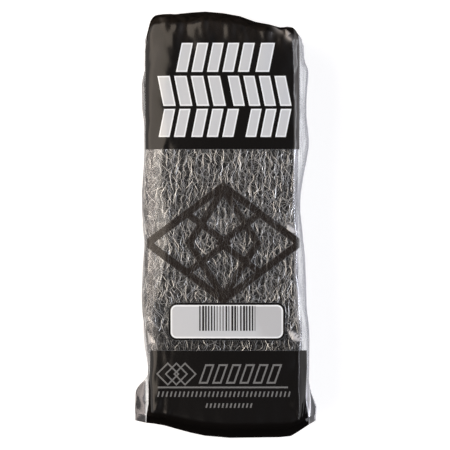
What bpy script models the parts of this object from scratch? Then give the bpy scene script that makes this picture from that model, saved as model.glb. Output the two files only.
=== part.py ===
"""A sealed, printed clear film sleeve of coarse steel wool hand pads, lying on its back.

Metres, with +Z up out of the printed front, +Y towards the printed top and +X to the right.
"""

import bmesh
import bpy
import numpy as np

# Steel wool pads: flattened rolls, packed flat, end to end in columns and in layers
PAD_WIDTH = 0.1190
PAD_LENGTH = 0.0780
PAD_THICKNESS = 0.0145
PAD_COLUMNS = 4
PAD_LAYERS = 4
PAD_GAP = 0.0003
PAD_FOLD_RADIUS = 0.0035
PAD_PLAN_RADIUS = 0.0080
# How far each column's stack of pads lies to the right of the middle, from the bottom column up
COLUMN_SHIFTS = (0.0010, -0.0022, -0.0022, -0.0008)

# Film sleeve around the pads
FILM_WALL = 0.0004
FILM_CLEARANCE = 0.0003
FRONT_CROWN = 0.0015
SHOULDER_LENGTH = 0.0085
SHOULDER_POWER = 5.0
TOP_SLOPE_LENGTH = 0.0075
BOTTOM_SLOPE_LENGTH = 0.0095
TOP_FIN_LENGTH = 0.0030
BOTTOM_FIN_LENGTH = 0.0070
FIN_THICKNESS = 0.0016
EAR_SPAN = 0.1436
EAR_LENGTH = 0.0470
EAR_TAPER = 0.0120
EAR_THICKNESS = 0.0012

# Corners of a section: how far each reaches in from the side and down from the face, and how square it is.
# At a power of 1 a corner is a plain bevel, and at 2 it is an arc.
# The front of the pack rolls over to the left and breaks in a crease on the right.
FRONT_LEFT_CORNER = (0.0200, 0.0122, 1.75)
FRONT_RIGHT_CORNER = (0.0080, 0.0118, 1.25)
BACK_CORNER = (0.0110, 0.0110, 2.0)
PAD_CORNER = (0.0022, 0.0022, 2.0)

# Printed fields on the front of the film
TOP_BAND_LENGTH = 0.1098
BOTTOM_BAND_LENGTH = 0.0705
LABEL_LENGTH = 0.0300
LABEL_TO_BOTTOM_BAND = 0.0079

# How far the film bulges past straight sides: place from the bottom (0) to the top (1), left, right
SIDE_BULGES = (
    (0.00, 0.0005, 0.0010),
    (0.10, 0.0007, 0.0029),
    (0.17, 0.0003, 0.0057),
    (0.21, 0.0023, 0.0057),
    (0.27, 0.0039, 0.0045),
    (0.33, 0.0059, 0.0029),
    (0.38, 0.0051, 0.0029),
    (0.47, 0.0035, 0.0005),
    (0.56, 0.0053, -0.0017),
    (0.62, 0.0043, 0.0005),
    (0.68, 0.0031, 0.0041),
    (0.73, 0.0039, 0.0031),
    (0.80, 0.0058, 0.0037),
    (0.89, 0.0031, 0.0037),
    (0.95, 0.0030, 0.0010),
    (1.00, 0.0020, -0.0010),
)

# How far each end is pulled back from a straight edge: place across in half widths, distance
TOP_PULL = (
    (-1.06, 0.0240),
    (-1.03, 0.0160),
    (-1.00, 0.0090),
    (-0.92, 0.0049),
    (-0.83, 0.0024),
    (-0.27, 0.0000),
    (0.00, 0.0012),
    (0.19, 0.0036),
    (0.41, 0.0084),
    (0.74, 0.0128),
    (0.91, 0.0152),
    (1.00, 0.0243),
    (1.05, 0.0290),
)
BOTTOM_PULL = (
    (-1.20, 0.0140),
    (-1.05, 0.0120),
    (-0.84, 0.0108),
    (-0.46, 0.0040),
    (-0.27, 0.0016),
    (0.06, 0.0000),
    (0.72, 0.0012),
    (0.86, 0.0027),
    (0.97, 0.0072),
    (1.20, 0.0150),
)
PULL_LENGTH = 0.0600

# Facets
CORNER_STEPS = 5
FLAT_STEPS = 10
PAD_CORNER_STEPS = 3
PAD_FLAT_STEPS = 3
BODY_STEP = 0.0220
SHOULDER_STEPS = 5
FOLD_ANGLES = (0.0, 45.0, 90.0)
DROP_SHARE = 0.95

# Places worked out from the sizes above
half_width = PAD_WIDTH / 2 + FILM_CLEARANCE + FILM_WALL
block_height = PAD_LAYERS * PAD_THICKNESS + (PAD_LAYERS - 1) * PAD_GAP
block_length = PAD_COLUMNS * PAD_LENGTH + (PAD_COLUMNS - 1) * PAD_GAP
sleeve_height = block_height + 2 * (FILM_CLEARANCE + FILM_WALL)
middle_height = sleeve_height / 2
top_end_depth = TOP_SLOPE_LENGTH + TOP_FIN_LENGTH
bottom_end_depth = BOTTOM_SLOPE_LENGTH + BOTTOM_FIN_LENGTH
sleeve_length = block_length + top_end_depth + bottom_end_depth
bottom_end = -sleeve_length / 2
top_end = sleeve_length / 2
block_start = bottom_end + bottom_end_depth
block_end = top_end - top_end_depth
ear_start = bottom_end + EAR_LENGTH
ear_full = ear_start - EAR_TAPER
bottom_band_edge = bottom_end + BOTTOM_BAND_LENGTH
top_band_edge = top_end - TOP_BAND_LENGTH
label_start = bottom_band_edge + LABEL_TO_BOTTOM_BAND
label_end = label_start + LABEL_LENGTH


def clear_scene():
    """Removes every object, so that only this part is left."""
    for old in list(bpy.data.objects):
        bpy.data.objects.remove(old, do_unlink=True)


def finish(name, colour, roughness, metallic=0.0, alpha=1.0):
    """A plain material of one colour."""
    made = bpy.data.materials.new(name)
    made.use_nodes = True
    shader = made.node_tree.nodes["Principled BSDF"]
    shader.inputs["Base Color"].default_value = (*colour, 1.0)
    shader.inputs["Roughness"].default_value = roughness
    shader.inputs["Metallic"].default_value = metallic
    shader.inputs["Alpha"].default_value = alpha
    return made


def between(table, place, column=1):
    """Reads a column of a table of places and sizes at any place, in a straight line between its rows."""
    rows = np.array(table)
    return np.interp(place, rows[:, 0], rows[:, column])


def settled(point):
    """Pulls a point of the straight pack back to its curved and slanted ends.

    The pull grows evenly from nothing, PULL_LENGTH before each end, to the whole of it at the end.
    """
    x, y, z = point
    across = x / half_width
    at_top = np.clip((y - top_end) / PULL_LENGTH + 1, 0, 1)
    at_bottom = np.clip((bottom_end - y) / PULL_LENGTH + 1, 0, 1)
    y -= at_top * between(TOP_PULL, across)
    y += at_bottom * between(BOTTOM_PULL, across)
    return (x, y, z)


def corner(side, high, inwards, shape, shrink, steps):
    """Points round a corner, from its side up to its face, along |x/reach|^power + |z/drop|^power = 1.

    Inwards is 1 for a left corner and -1 for a right one.
    """
    reach, drop, power = shape
    turns = np.radians(np.linspace(0, 90, steps + 1))
    return [
        (
            side + inwards * shrink * reach * (1 - np.cos(a) ** (2 / power)),
            high - shrink * drop * (1 - np.sin(a) ** (2 / power)),
        )
        for a in turns
    ]


def arch(left, right, high, corners, shrink, flat_steps, corner_steps, crown=0):
    """The upper half of a section: a corner, a flat that may rise to a crown, and a corner."""
    left_shape, right_shape = corners
    flat_left = left + shrink * left_shape[0]
    flat_right = right - shrink * right_shape[0]
    span = np.linspace(flat_left, flat_right, flat_steps + 1)[1:-1]
    middle = (flat_left + flat_right) / 2
    reach = (flat_right - flat_left) / 2
    return [
        *corner(left, high, 1, left_shape, shrink, corner_steps),
        *((x, high + crown * (1 - ((x - middle) / reach) ** 2)) for x in span),
        *corner(right, high, -1, right_shape, shrink, corner_steps)[::-1],
    ]


def loft(name, rings, material):
    """One closed body through rings. Each has a left tip, an upper half, a right tip and a lower half."""
    mesh = bmesh.new()
    loops = []
    for y, left_tip, upper, right_tip, lower in rings:
        around = [left_tip, *upper, right_tip, *lower[::-1]]
        loops.append([mesh.verts.new(settled((x, y, z))) for x, z in around])
    count = len(loops[0])
    half = count // 2
    for first, second in zip(loops, loops[1:]):
        for i in range(count):
            j = (i + 1) % count
            mesh.faces.new((first[i], first[j], second[j], second[i]))
    for loop in (loops[0], loops[-1]):
        mesh.faces.new((loop[0], loop[1], loop[-1]))
        for i in range(1, half - 1):
            mesh.faces.new((loop[i], loop[i + 1], loop[-i - 1], loop[-i]))
        mesh.faces.new((loop[half - 1], loop[half], loop[half + 1]))
    bmesh.ops.recalc_face_normals(mesh, faces=mesh.faces)
    data = bpy.data.meshes.new(name)
    mesh.to_mesh(data)
    mesh.free()
    data.materials.append(material)
    data.shade_smooth()
    data.set_sharp_from_angle(angle=np.radians(50))
    made = bpy.data.objects.new(name, data)
    bpy.context.collection.objects.link(made)
    return made


def pad_ring(y, width_loss, height_loss, shift, floor, low_corners, high_corners):
    """One section across a pad, smaller all round where the fold and the plan corner round it off.

    Where two corners don't fit one above the other, all of them shrink alike.
    """
    left = shift - PAD_WIDTH / 2 + width_loss
    right = shift + PAD_WIDTH / 2 - width_loss
    low = floor + height_loss
    high = floor + PAD_THICKNESS - height_loss
    high_drop = max(drop for _, drop, _ in high_corners)
    low_drop = max(drop for _, drop, _ in low_corners)
    shrink = min(1, DROP_SHARE * (high - low) / (low_drop + high_drop))
    upper = arch(left, right, high, high_corners, shrink, PAD_FLAT_STEPS, PAD_CORNER_STEPS)
    under = arch(left, right, -low, low_corners, shrink, PAD_FLAT_STEPS, PAD_CORNER_STEPS)
    middle = (high - high_drop * shrink + low + low_drop * shrink) / 2
    return y, (left, middle), upper, (right, middle), [(x, -z) for x, z in under]


def steel_wool_pad(column, layer, material):
    """A folded pad. The outer layers take the sleeve's corners where it squeezes them."""
    start = block_start + column * (PAD_LENGTH + PAD_GAP)
    floor = FILM_WALL + FILM_CLEARANCE + layer * (PAD_THICKNESS + PAD_GAP)
    low_corners = (BACK_CORNER, BACK_CORNER) if layer == 0 else (PAD_CORNER, PAD_CORNER)
    high_corners = (PAD_CORNER, PAD_CORNER)
    if layer == PAD_LAYERS - 1:
        high_corners = (FRONT_LEFT_CORNER, FRONT_RIGHT_CORNER)
    turns = np.radians(FOLD_ANGLES)
    fold = [(PAD_FOLD_RADIUS * (1 - np.cos(a)), PAD_FOLD_RADIUS * (1 - np.sin(a))) for a in turns]
    if PAD_PLAN_RADIUS > PAD_FOLD_RADIUS:
        fold.append((PAD_PLAN_RADIUS, 0))
    rings = []
    for inset, height_loss in fold:
        short = max(PAD_PLAN_RADIUS - inset, 0)
        width_loss = PAD_PLAN_RADIUS - np.sqrt(PAD_PLAN_RADIUS**2 - short**2)
        rings.append((inset, width_loss, height_loss))
    lengths = [(start + inset, wide, high) for inset, wide, high in rings]
    lengths += [(start + PAD_LENGTH - inset, wide, high) for inset, wide, high in rings[::-1]]
    shift = COLUMN_SHIFTS[column]
    sections = [
        pad_ring(y, wide, high, shift, floor, low_corners, high_corners)
        for y, wide, high in lengths
    ]
    return loft(f"pad_column_{column + 1}_layer_{layer + 1}", sections, material)


def film_ring(y, half_height, inset):
    """One section across the sleeve, set in by the wall's thickness for its inner face.

    The outer face has an ear on each side near the bottom: a flat flap of two films at mid height.
    """
    place = (y - bottom_end) / sleeve_length
    left = -half_width - between(SIDE_BULGES, place, 1) + inset
    right = half_width + between(SIDE_BULGES, place, 2) - inset
    high = half_height - inset
    front_corners = (FRONT_LEFT_CORNER, FRONT_RIGHT_CORNER)
    back_corners = (BACK_CORNER, BACK_CORNER)
    deepest = max(drop for _, drop, _ in (*front_corners, *back_corners))
    shrink = min(1, high / 2 / deepest)
    crown = FRONT_CROWN * half_height / middle_height
    root = (high - deepest * shrink) / 2
    left_tip = left
    right_tip = right
    if inset == 0 and y < ear_start:
        flare = min((ear_start - y) / EAR_TAPER, 1)
        root = min(root, EAR_THICKNESS / 2)
        left_tip -= flare * max(EAR_SPAN / 2 + left, 0)
        right_tip += flare * max(EAR_SPAN / 2 - right, 0)
    front = arch(left, right, high, front_corners, shrink, FLAT_STEPS, CORNER_STEPS, crown)
    back = arch(left, right, high, back_corners, shrink, FLAT_STEPS, CORNER_STEPS)
    upper = [(left, root), *front, (right, root)]
    lower = [(left, root), *back, (right, root)]
    upper = [(x, middle_height + z) for x, z in upper]
    lower = [(x, middle_height - z) for x, z in lower]
    return y, (left_tip, middle_height), upper, (right_tip, middle_height), lower


def film_stations(inset):
    """Places along the sleeve and the half height at each, from its bottom end to its top end."""
    full = middle_height
    fin = FIN_THICKNESS / 2
    bottom_shoulder = block_start + SHOULDER_LENGTH
    top_shoulder = block_end - SHOULDER_LENGTH
    stops = [bottom_shoulder, top_shoulder, bottom_band_edge, top_band_edge]
    stops = sorted([*stops, label_start, label_end, ear_start, ear_full])
    body = [(stops[0], full)]
    for first, second in zip(stops, stops[1:]):
        steps = max(1, round((second - first) / BODY_STEP))
        body += [(y, full) for y in np.linspace(first, second, steps + 1)[1:]]
    bottom = []
    top = []
    for step in range(1, SHOULDER_STEPS + 1):
        share = np.sin(np.radians(90 * step / SHOULDER_STEPS))
        height = fin + (full - fin) * (1 - share**SHOULDER_POWER) ** (1 / SHOULDER_POWER)
        bottom_reach = SHOULDER_LENGTH + BOTTOM_SLOPE_LENGTH - inset
        top_reach = SHOULDER_LENGTH + TOP_SLOPE_LENGTH - inset
        bottom.insert(0, (bottom_shoulder - share * bottom_reach, height))
        top.append((top_shoulder + share * top_reach, height))
    if inset == 0:
        bottom.insert(0, (bottom_end, fin))
    top.append((top_end, fin))
    return bottom + body + top


def film_sleeve(clear, ink, label):
    """The sleeve: its outer face, turned in at the mouth of the top fin, and its inner face.

    The bottom fin is fused solid. The top fin keeps a slit between its two films.
    """
    outer = [film_ring(y, height, 0) for y, height in film_stations(0)]
    inner = [film_ring(y, height, FILM_WALL) for y, height in film_stations(FILM_WALL)]
    made = loft("film_sleeve", outer + inner[::-1], clear)
    made.data.materials.append(ink)
    made.data.materials.append(label)
    for face in made.data.polygons:
        middle = face.center
        if face.normal.z < 0.5 or middle.z < middle_height:
            continue
        if middle.y > top_band_edge or middle.y < bottom_band_edge:
            face.material_index = 1
        elif label_start < middle.y < label_end and face.normal.z > 0.99:
            face.material_index = 2
    return made


clear_scene()
clear_film = finish("clear_film", (0.80, 0.80, 0.84), 0.15, alpha=0.25)
black_ink = finish("black_ink", (0.012, 0.011, 0.012), 0.35)
label_ink = finish("label_ink", (0.50, 0.50, 0.51), 0.35)
steel_wool = finish("steel_wool", (0.17, 0.165, 0.16), 0.55, metallic=0.8)

pack = bpy.data.objects.new("steel_wool_pad_pack", None)
bpy.context.collection.objects.link(pack)
pieces = [film_sleeve(clear_film, black_ink, label_ink)]
for column in range(PAD_COLUMNS):
    for layer in range(PAD_LAYERS):
        pieces.append(steel_wool_pad(column, layer, steel_wool))
for piece in pieces:
    piece.parent = pack
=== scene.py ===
"""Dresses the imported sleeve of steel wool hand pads: wool, printed film, floor, lamps and camera.

Metres, +Z up out of the printed front, +Y towards the printed top, +X to the right.
"""

import bpy
import numpy as np
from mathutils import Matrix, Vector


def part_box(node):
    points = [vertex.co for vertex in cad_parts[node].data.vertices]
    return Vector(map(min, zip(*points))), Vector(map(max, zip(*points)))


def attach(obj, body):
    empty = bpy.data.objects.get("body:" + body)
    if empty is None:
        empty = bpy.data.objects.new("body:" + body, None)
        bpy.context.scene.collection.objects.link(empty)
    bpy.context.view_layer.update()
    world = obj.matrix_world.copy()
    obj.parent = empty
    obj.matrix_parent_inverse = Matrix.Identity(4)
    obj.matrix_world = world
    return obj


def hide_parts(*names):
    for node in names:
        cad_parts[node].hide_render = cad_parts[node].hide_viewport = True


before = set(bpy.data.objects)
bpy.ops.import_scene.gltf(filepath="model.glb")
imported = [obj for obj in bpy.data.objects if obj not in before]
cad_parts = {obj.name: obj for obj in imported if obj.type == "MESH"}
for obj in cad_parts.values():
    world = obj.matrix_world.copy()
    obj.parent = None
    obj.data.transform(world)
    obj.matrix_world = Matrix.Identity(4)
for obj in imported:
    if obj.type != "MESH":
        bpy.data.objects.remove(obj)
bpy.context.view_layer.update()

MM = 0.001
scene = bpy.context.scene
scene.view_settings.view_transform = "Standard"


# The pads, packed end to end in columns and on top of each other in layers.
# Each is a ribbon of coarse steel fibres, folded flat, so its fibres run along the pack
# and turn over at the fold. The sleeve's slanted ends squeeze the outer columns.

COLUMNS = 4
LAYERS = 4
FOLD_RADIUS = 2.5 * MM
SIDE_RADIUS = 2.5 * MM
BACK_RADIUS = 11 * MM
BODY_DEPTH = 0.8 * MM
SLACK = 0.4 * MM
FILM_ROOM = 0.9 * MM
SPREAD = 4.5 * MM
PULL_LENGTH = 60 * MM
TOP_PULL_MM = (
    (-66, 29), (-62.1, 17.5), (-60.1, 8), (-57.5, 4), (-55.4, 2.8), (-50, 2), (-44, 1.8),
    (-39.5, 2.2), (-36, 1.6), (-28, 0.8), (-16, 0), (-2, 1.2), (11.4, 3.6), (24, 8.2),
    (35, 10.2), (44, 12.8), (49, 12), (53.5, 12.6), (56.3, 15.2), (59.9, 24.3), (63, 29),
)
BOTTOM_PULL_MM = (
    (-71.8, 14), (-63.3, 12), (-50.6, 10.6), (-40, 7.4), (-28, 4.2), (-16.4, 1.7), (3.5, 0),
    (20, 0.2), (43, 0.5), (52, 1.4), (58, 5), (67, 11), (71.8, 13.8),
)
LEFT_EDGE_MM = (
    (-170, -60.4), (-122, -60.8), (-113.5, -60.5), (-99, -62.5), (-83, -64.1), (-59.5, -66.1),
    (-43.6, -65.4), (-29, -65.2), (-11.8, -63.7), (8, -65.4), (28, -65.5), (44, -64.1),
    (60, -63.3), (80, -64.1), (91.6, -66), (115.4, -66), (131, -63.3), (138, -63.9),
    (157, -63.9), (170, -63),
)
RIGHT_EDGE_MM = (
    (-170, 61.5), (-137, 64.5), (-115, 65.9), (-91, 65.9), (-79, 64.7), (-67, 63.1),
    (-44, 63.1), (-28, 62.3), (-12, 60.7), (8, 58.9), (20, 58.4), (28, 58.8),
    (40, 60.7), (50, 63.1), (64, 65.1), (84, 63.1), (107.5, 64.1), (128, 64.8),
    (137, 64.8), (143, 63.1), (150, 61.5), (170, 60.5),
)
LEFT_KNEE_MM = (
    (-170, -57), (-122, -56.5), (-110, -54.5), (-98, -53.5), (-90, -56), (-78, -57),
    (-64, -55.5), (-50, -50), (-30, -44), (0, -42), (20, -44), (35, -47.5),
    (60, -47.5), (75, -45), (100, -43.5), (150, -42), (170, -48),
)
RIGHT_KNEE_MM = (
    (-170, 56), (-143, 57), (-120, 57.5), (-100, 57), (-88, 60), (-60, 56),
    (-20, 55), (20, 54), (45, 54), (58, 53.6), (68, 54.6), (76, 53), (84, 52.2),
    (94, 53.6), (106, 53), (118, 54), (128, 53.2), (140, 53.4), (170, 51),
)
LEFT_DROP = 12.2 * MM
RIGHT_DROP = 11.8 * MM
LEFT_POWER = 1.75
RIGHT_POWER = 1.25

inner_low, inner_high = (np.array(corner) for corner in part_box("pad_column_2_layer_2"))
next_low, _ = (np.array(corner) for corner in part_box("pad_column_3_layer_3"))
sleeve_low, sleeve_high = (np.array(corner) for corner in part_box("film_sleeve"))
pad_size = inner_high - inner_low
pad_pitch = next_low - inner_low
block_start = inner_low[1] - pad_pitch[1]
block_end = block_start + (COLUMNS - 1) * pad_pitch[1] + pad_size[1]
block_floor = inner_low[2] - pad_pitch[2]
top_end = sleeve_high[1]
bottom_end = sleeve_low[1]


def settled(points):
    """Pulls points of the straight pack back to its slanted ends.

    The pull across the pack is read from the two tables, and grows evenly from nothing,
    PULL_LENGTH before each end, to the whole of it at the end.
    """
    top = np.array(TOP_PULL_MM) * MM
    bottom = np.array(BOTTOM_PULL_MM) * MM
    x, y, z = np.moveaxis(points, -1, 0)
    at_top = np.clip((y - top_end) / PULL_LENGTH + 1, 0, 1)
    at_bottom = np.clip((bottom_end - y) / PULL_LENGTH + 1, 0, 1)
    pulled = y - at_top * np.interp(x, *top.T) + at_bottom * np.interp(x, *bottom.T)
    return np.stack([x, pulled, z], axis=-1)


def fold_outline(length, height, radius, arc_steps=12):
    """A rounded rectangle as distance along it, the two coordinates and the angle that it faces.

    Each point is its corner's centre plus the radius along its angle, and the straights join them.
    """
    angle = (np.arange(4)[:, None] + np.linspace(0, 1, arc_steps + 1)) * np.pi / 2
    middle = (np.arange(4)[:, None] + 0.5) * np.pi / 2
    along = (length / 2 - radius) * np.sign(np.cos(middle)) + radius * np.cos(angle)
    up = (height / 2 - radius) * np.sign(np.sin(middle)) + radius * np.sin(angle)
    along, up, angle = (np.append(a.ravel(), a.ravel()[0]) for a in (along, up, angle))
    angle[-1] = 2 * np.pi
    distance = np.append(0, np.cumsum(np.hypot(np.diff(along), np.diff(up))))
    return distance, along, up, angle


def eased(table, place, reach=4 * MM):
    """Reads a table of millimetres at each place, as the mean of nine places within reach of it."""
    rows = np.array(table) * MM
    near = np.asarray(place)[..., None] + np.linspace(-reach, reach, 9)
    return np.interp(near, rows[:, 0], rows[:, 1]).mean(axis=-1)


def pressed(x, y):
    """How far the tight film presses the front down towards its sides: a superellipse corner on each.

    Outwards of the knee at a share u of the way to the edge, it is drop (1 - (1 - u^p)^(1/p)).
    """
    left, left_knee = eased(LEFT_EDGE_MM, y), eased(LEFT_KNEE_MM, y)
    right, right_knee = eased(RIGHT_EDGE_MM, y), eased(RIGHT_KNEE_MM, y)
    to_left = np.clip((left_knee - x) / (left_knee - left), 0, 1)
    to_right = np.clip((x - right_knee) / (right - right_knee), 0, 1)
    fall = LEFT_DROP * (1 - (1 - to_left**LEFT_POWER) ** (1 / LEFT_POWER))
    return fall + RIGHT_DROP * (1 - (1 - to_right**RIGHT_POWER) ** (1 / RIGHT_POWER))


outline = fold_outline(pad_size[1], pad_size[2], FOLD_RADIUS)
round_length = outline[0][-1]
front_middle = (pad_size[1] / 2 - FOLD_RADIUS) + FOLD_RADIUS * np.pi / 2
back_middle = front_middle + round_length / 2
end_middle = FOLD_RADIUS - pad_size[2] / 2


def rounding(distance, radius):
    """How far a round edge falls away at a distance from where it starts: r less the root of r2 - d2."""
    inside = np.clip(distance, 0, radius)
    return radius - np.sqrt(radius**2 - inside**2)


def in_pack(column, layer, across, along, up):
    """Puts points about a pad's middle into the pack, spread to the left as far as the film leaves room.

    The outer layers take the shape of the sleeve: their height falls away at the sides,
    in full at the outer face and not at all at the inner one.
    """
    low, high = (np.array(corner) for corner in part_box(f"pad_column_{column + 1}_layer_{layer + 1}"))
    share = np.clip(up / pad_size[2] + 0.5, 0, 1)
    middle = (low[0] + high[0]) / 2
    y = block_start + column * pad_pitch[1] + pad_size[1] / 2 + along
    room = np.clip(middle - eased(LEFT_EDGE_MM, y) - FILM_ROOM, pad_size[0] / 2, pad_size[0] / 2 + SPREAD)
    x = middle + across * np.where(across < 0, room / (pad_size[0] / 2), 1)
    if layer == LAYERS - 1:
        up = up - (pressed(x, y) + SLACK) * share
    if layer == 0:
        up = up + rounding(np.abs(across) - (pad_size[0] / 2 - BACK_RADIUS), BACK_RADIUS) * (1 - share)
    z = block_floor + layer * pad_pitch[2] + pad_size[2] / 2 + up
    return settled(np.stack(np.broadcast_arrays(x, y, z), axis=-1))


def on_fold(column, layer, around, across, lift):
    """Points at a distance round a pad's folded section, across it, and lifted off its surface.

    The surface falls away as a round edge at the pad's cut sides.
    """
    around = np.mod(around, round_length)
    along, up, angle = (np.interp(around, outline[0], values) for values in outline[1:])
    lift = lift - rounding(np.abs(across) - (pad_size[0] / 2 - SIDE_RADIUS), SIDE_RADIUS)
    return in_pack(column, layer, across, along + lift * np.cos(angle), up + lift * np.sin(angle))


def on_side(column, layer, face, along, up, lift):
    """Points on a pad's left or right cut side, at a place along it and up it, and lifted off it.

    The side is a shallow arch, which falls back as the fourth power of the height.
    """
    along = np.clip(along, FOLD_RADIUS / 2 - pad_size[1] / 2, pad_size[1] / 2 - FOLD_RADIUS / 2)
    up = np.clip(up, 0.4 * MM - pad_size[2] / 2, pad_size[2] / 2 - 0.4 * MM)
    arch = SIDE_RADIUS / 2 * (2 * up / pad_size[2]) ** 4
    return in_pack(column, layer, face * (pad_size[0] / 2 - arch + lift), along, up)


def grid_faces(rows, columns):
    """Quads of a grid of points whose columns go round, each facing outwards."""
    row = np.arange(rows - 1)[:, None] * columns
    column = np.arange(columns)[None, :]
    after = (column + 1) % columns
    corners = (row + column, row + after, row + columns + after, row + columns + column)
    return np.stack(corners, axis=-1).reshape(-1, 4)


def cap_faces(columns, start, turned):
    """Quads across a ring, from each point to its mirror image, with a triangle at either tip.

    A triangle has -1 for its fourth corner. Turned faces look back along the rings.
    """
    half = columns // 2
    first = np.arange(1, half - 1)
    quads = np.stack([first, first + 1, columns - first - 1, columns - first], axis=-1) + start
    tips = np.array([[0, 1, columns - 1], [half - 1, half, half + 1]]) + start
    faces = np.concatenate([quads, np.pad(tips, ((0, 0), (0, 1)), constant_values=-1)])
    return faces[:, ::-1] if turned else faces


def solid(name, points, faces, material):
    """A smooth mesh object of points and faces, each a quad, or a triangle with -1 for one corner."""
    count = (faces >= 0).sum(axis=1)
    mesh = bpy.data.meshes.new(name)
    mesh.vertices.add(len(points))
    mesh.vertices.foreach_set("co", np.ascontiguousarray(points, dtype=np.float32).ravel())
    mesh.loops.add(int(count.sum()))
    mesh.loops.foreach_set("vertex_index", faces[faces >= 0].astype(np.int32))
    mesh.polygons.add(len(faces))
    mesh.polygons.foreach_set("loop_start", np.append(0, np.cumsum(count)[:-1]).astype(np.int32))
    mesh.polygons.foreach_set("use_smooth", np.ones(len(faces), dtype=bool))
    mesh.update(calc_edges=True)
    mesh.validate()
    mesh.materials.append(material)
    made = bpy.data.objects.new(name, mesh)
    scene.collection.objects.link(made)
    return made


def pad_body(column, layer, rows=20, columns=56):
    """The closed form under the loose fibres, a little inside the pad's outline, with low lumps.

    Each ring is the folded outline at one place across, and the lumps are two crossing sine waves.
    """
    around = np.linspace(0, round_length, columns, endpoint=False)[None, :]
    half = pad_size[0] / 2
    edge = half - SIDE_RADIUS * (1 - np.sin(np.linspace(0, np.pi / 2, 4)))
    inner = np.linspace(SIDE_RADIUS - half, half - SIDE_RADIUS, rows)[1:-1]
    across = np.concatenate([-edge[::-1], inner, edge])[:, None]
    shift = np.random.default_rng(100 + column * LAYERS + layer).uniform(0, 2 * np.pi, 4)
    lumps = np.sin(across / (7 * MM) + shift[0] + np.sin(around / (11 * MM) + shift[1]))
    lumps = lumps + np.sin(around / (4 * MM) + shift[2] + np.sin(across / (9 * MM) + shift[3]))
    facing_up = np.abs(np.sin(np.interp(around, outline[0], outline[3])))
    shell = on_fold(column, layer, around, across, 0.2 * MM * lumps - BODY_DEPTH * facing_up)
    rings = len(across)
    faces = [
        grid_faces(rings, columns),
        cap_faces(columns, 0, turned=True),
        cap_faces(columns, (rings - 1) * columns, turned=False),
    ]
    return shell.reshape(-1, 3), np.concatenate(faces)


BRIDGING = 0.10
BRIDGE_SCATTER = 5 * MM
LOOSE_SHARE = 0.12
LOOSE_LENGTH = (8 * MM, 18 * MM)
LOOSE_LEAN = 1.0
LOOSE_BEND = 0.24
LEAN = 0.44
BEND = 0.13
CURL = 0.06
FIBRE_LENGTH = (3 * MM, 9 * MM)
FIBRE_DEPTH = (-1.0 * MM, -0.1 * MM)
FIBRE_RADIUS = (0.09 * MM, 0.16 * MM)
# Share of painted light on each fibre: low for the deeper fibres, as painted shade, and high for the strands
# on top.
FIBRE_LIGHT_SHARE = (0.01, 0.27)
STRAND_LENGTH = (6 * MM, 16 * MM)
STRAND_DEPTH = (-0.3 * MM, 0.2 * MM)
STRAND_RADIUS = (0.12 * MM, 0.19 * MM)
STRAND_LIGHT_SHARE = (0.6, 1.0)
HUMP = (0.05 * MM, 0.35 * MM)
EVEN_STEPS = np.array([0.7549, 0.5698])


def fibre_paths(column, layer, count, face, rng, bright):
    """Centre lines of fibres on a face of a pad (front, back, end or sides), and how bright each is.

    A fibre runs its length along its lean, plus a bend that grows as the square of the way and
    one sine wave, and lies in a low hump whose ends dip into the pad. They start at even steps that
    never meet. One in eight has come loose: it is longer and leans further. The bright ones are
    long strands and lie nearest the top, and their light tone is painted light; the deeper ones'
    dark tone is painted shade, and the tone varies at random within each. A few on the front lie
    across the seam to the next pad.
    """
    way = np.linspace(-0.5, 0.5, 6 if bright else 4)
    usual_length, usual_depth = (STRAND_LENGTH, STRAND_DEPTH) if bright else (FIBRE_LENGTH, FIBRE_DEPTH)
    loose = rng.random(count) < LOOSE_SHARE
    length = np.where(loose, rng.uniform(*LOOSE_LENGTH, count), rng.uniform(*usual_length, count))
    lean = np.where(loose, rng.normal(0, LOOSE_LEAN, count), rng.normal(0, LEAN, count))[:, None]
    bend = rng.normal(0, 1, count) * np.where(loose, LOOSE_BEND, BEND) * length
    curl = rng.normal(0, CURL, count) * length
    depth = rng.uniform(*usual_depth, count)
    hump = rng.uniform(*HUMP, count)
    if bright:
        light_share = rng.uniform(*STRAND_LIGHT_SHARE, count)
    else:
        light_share = FIBRE_LIGHT_SHARE[0] + (FIBRE_LIGHT_SHARE[1] - FIBRE_LIGHT_SHARE[0]) * rng.beta(0.8, 1.5, count)
    run = way * length[:, None]
    sway = bend[:, None] * (4 * way**2 - 0.5) + curl[:, None] * np.sin(2 * np.pi * way)
    lift = depth[:, None] - hump[:, None] * 4 * way**2
    forward = run * np.cos(lean) - sway * np.sin(lean)
    aside = run * np.sin(lean) + sway * np.cos(lean)
    start = np.mod(EVEN_STEPS[:, None, None] * np.arange(count)[:, None] + rng.random((2, 1, 1)), 1) - 0.5
    if face == "sides":
        side = np.where(rng.random((count, 1)) < 0.5, -1, 1)
        along = start[0] * (pad_size[1] - FOLD_RADIUS) + forward
        paths = on_side(column, layer, side, along, 0.92 * start[1] * pad_size[2] + 0.3 * aside, lift)
    else:
        half = pad_size[0] / 2
        outer = end_middle if column > 0 else end_middle + round_length / 2
        middle = {"front": front_middle, "back": back_middle, "end": outer}[face]
        spread = pad_size[2] if face == "end" else round_length / 2 + 4 * MM
        around = middle + start[0] * spread + forward * (0.3 if face == "end" else 1)
        across = 2 * half * start[1] + aside
        across = half - np.abs(np.mod(across + half, 4 * half) - 2 * half)
        paths = on_fold(column, layer, around, across, lift)
    if face == "front":
        towards = rng.choice([-1, 1], (count, 1)) if 0 < column < COLUMNS - 1 else 1 - 2 * (column > 0)
        scatter = BRIDGE_SCATTER * rng.uniform(-0.5, 0.5, (count, 1))
        along = towards * pad_size[1] / 2 + scatter + forward
        bridge = in_pack(column, layer, across, along, pad_size[2] / 2 + lift - SLACK)
        paths = np.where(rng.random((count, 1, 1)) < BRIDGING, bridge, paths)
    return paths, light_share


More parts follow.
